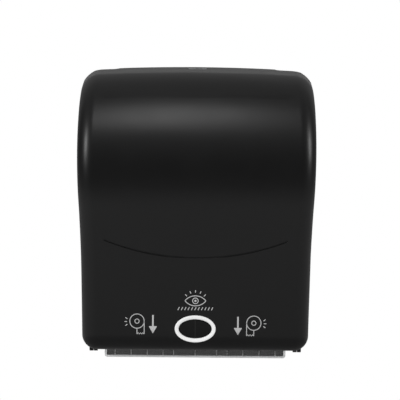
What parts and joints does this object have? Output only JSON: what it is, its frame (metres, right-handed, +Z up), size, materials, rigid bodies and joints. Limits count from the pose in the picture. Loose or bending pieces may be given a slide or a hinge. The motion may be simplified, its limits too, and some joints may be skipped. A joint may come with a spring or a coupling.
{
  "type": "automatic roll towel dispenser",
  "caption": "Wall cabinet that senses a hand and feeds a paper towel from a roll: drop-down cover, sprung roll arms, motor gear train, rollers and tear blade.",
  "frame": {"origin": "centre of the four wall screw holes, on the wall plane, at half the cover's height", "axes": "+X right as seen from the room, the front faces -Y, +Y points into the wall, +Z up"},
  "size_m": [0.3012, 0.232, 0.36],
  "materials": {
    "cabinet_black": "satin",
    "window_smoke": "gloss",
    "bezel_white": "satin",
    "clear_plastic": "gloss",
    "steel": "satin",
    "bright_steel": "polished",
    "brass": "satin",
    "module_grey": "matte",
    "fascia_grey": "matte",
    "gear_white": "satin",
    "arm_grey": "matte",
    "hub_blue": "satin",
    "rubber_black": "matte",
    "paper_white": "matte",
    "cardboard_brown": "matte",
    "battery_can": "satin",
    "battery_tray": "matte",
    "board_green": "satin",
    "component_black": "satin",
    "button_orange": "satin",
    "led_dark": "gloss"
  },
  "bodies": {
    "housing": {"back_housing": "cabinet_black", "lock_strike": "steel", "strike_screw": "steel", "hinge_pins": "steel", "paper_web": "paper_white", "arm_pivot_pins": "steel", "arm_springs": "steel", "drive_chassis": "module_grey", "chassis_screws": "steel", "drive_bushes": "brass", "idler_axle": "steel", "axle_clip": "steel", "gear_motor": "steel", "motor_screws": "steel", "pinch_pivot_pins": "steel", "pinch_springs": "steel", "chute_rear": "module_grey", "chute_front": "module_grey", "chute_screws": "steel", "tear_blade": "steel", "blade_screws": "steel", "clear_guard": "clear_plastic", "battery_box": "battery_tray", "battery_cells": "battery_can", "battery_contacts": "bright_steel", "module_fascia": "fascia_grey", "fascia_screws": "steel", "circuit_board": "board_green", "board_screws": "steel", "board_components": "component_black", "sensor_housing": "module_grey", "infrared_leds": "led_dark"},
    "cover": {"front_cover": "cabinet_black", "sensor_bezel": "bezel_white", "sensor_window": "window_smoke", "lock_plate": "steel"},
    "lock": {"lock_barrel": "bright_steel", "lock_cam": "steel", "lock_cam_screw": "steel"},
    "roll": {"towel_roll": "paper_white", "roll_core": "cardboard_brown"},
    "right_arm": {"right_roll_arm": "arm_grey"},
    "left_arm": {"left_roll_arm": "arm_grey"},
    "right_hub": {"right_roll_hub": "hub_blue"},
    "left_hub": {"left_roll_hub": "hub_blue"},
    "drive_roller": {"drive_shaft": "steel", "drive_sleeves": "rubber_black", "drive_gear": "gear_white", "shaft_clips": "steel"},
    "idler": {"idler_gear": "gear_white"},
    "pinion": {"motor_pinion": "brass"},
    "pinch_levers": {"pinch_arms": "arm_grey"},
    "pinch_roller": {"pinch_shaft": "steel", "pinch_rollers": "rubber_black"},
    "battery_lid": {"battery_door": "battery_tray"},
    "button": {"feed_button": "button_orange"},
    "length_slide": {"length_switch": "bezel_white"},
    "delay_slide": {"delay_switch": "bezel_white"}
  },
  "joints": [
    {"name": "cover_hinge", "type": "hinge", "parent": "housing", "child": "cover", "pos_m": [0, -0.024, -0.178], "axis": [1, 0, 0], "range_deg": [0, 90]},
    {"name": "lock_turn", "type": "hinge", "parent": "cover", "child": "lock", "pos_m": [0, -0.027, 0.154], "axis": [0, 0, -1], "range_deg": [0, 90]},
    {"name": "roll_spin", "type": "hinge", "parent": "housing", "child": "roll", "pos_m": [0, -0.112, 0.04], "axis": [1, 0, 0], "continuous": true},
    {"name": "right_arm_swing", "type": "hinge", "parent": "housing", "child": "right_arm", "pos_m": [0.1091, -0.016, 0.04], "axis": [0, 0, 1], "range_deg": [0, 12], "stiffness_Nm_per_rad": 0.6, "springref_deg": -17.19},
    {"name": "left_arm_swing", "type": "hinge", "parent": "housing", "child": "left_arm", "pos_m": [-0.1091, -0.016, 0.04], "axis": [0, 0, -1], "range_deg": [0, 12], "stiffness_Nm_per_rad": 0.6, "springref_deg": -17.19},
    {"name": "right_hub_spin", "type": "hinge", "parent": "right_arm", "child": "right_hub", "pos_m": [0.105, -0.112, 0.04], "axis": [1, 0, 0], "continuous": true},
    {"name": "left_hub_spin", "type": "hinge", "parent": "left_arm", "child": "left_hub", "pos_m": [-0.105, -0.112, 0.04], "axis": [1, 0, 0], "continuous": true},
    {"name": "drive_roller_spin", "type": "hinge", "parent": "housing", "child": "drive_roller", "pos_m": [0, -0.127, -0.129], "axis": [1, 0, 0], "continuous": true},
    {"name": "idler_spin", "type": "hinge", "parent": "housing", "child": "idler", "pos_m": [0.122, -0.10304, -0.12028], "axis": [1, 0, 0], "continuous": true},
    {"name": "pinion_spin", "type": "hinge", "parent": "housing", "child": "pinion", "pos_m": [0.118, -0.08054, -0.12028], "axis": [1, 0, 0], "continuous": true},
    {"name": "pinch_swing", "type": "hinge", "parent": "housing", "child": "pinch_levers", "pos_m": [0, -0.165, -0.112], "axis": [-1, 0, 0], "range_deg": [0, 5], "stiffness_Nm_per_rad": 1, "springref_deg": -5.73},
    {"name": "pinch_roller_spin", "type": "hinge", "parent": "pinch_levers", "child": "pinch_roller", "pos_m": [0, -0.1509, -0.129], "axis": [1, 0, 0], "continuous": true},
    {"name": "battery_lid_hinge", "type": "hinge", "parent": "housing", "child": "battery_lid", "pos_m": [0, -0.0068, -0.10105], "axis": [-1, 0, 0], "range_deg": [0, 80]},
    {"name": "feed_button_press", "type": "slide", "parent": "housing", "child": "button", "axis": [0, 1, 0], "range_m": [0, 0.0015], "stiffness_N_per_m": 300, "springref_m": -0.001},
    {"name": "length_slide_move", "type": "slide", "parent": "housing", "child": "length_slide", "axis": [1, 0, 0], "range_m": [0, 0.006]},
    {"name": "delay_slide_move", "type": "slide", "parent": "housing", "child": "delay_slide", "axis": [1, 0, 0], "range_m": [0, 0.006]}
  ],
  "couplings": [
    {"joint": "right_hub_spin", "follows": "roll_spin", "ratio": 1},
    {"joint": "left_hub_spin", "follows": "roll_spin", "ratio": 1},
    {"joint": "drive_roller_spin", "follows": "roll_spin", "ratio": 6.7692},
    {"joint": "idler_spin", "follows": "roll_spin", "ratio": -16.246},
    {"joint": "pinion_spin", "follows": "roll_spin", "ratio": 32.492},
    {"joint": "pinch_roller_spin", "follows": "roll_spin", "ratio": -8.8}
  ]
}
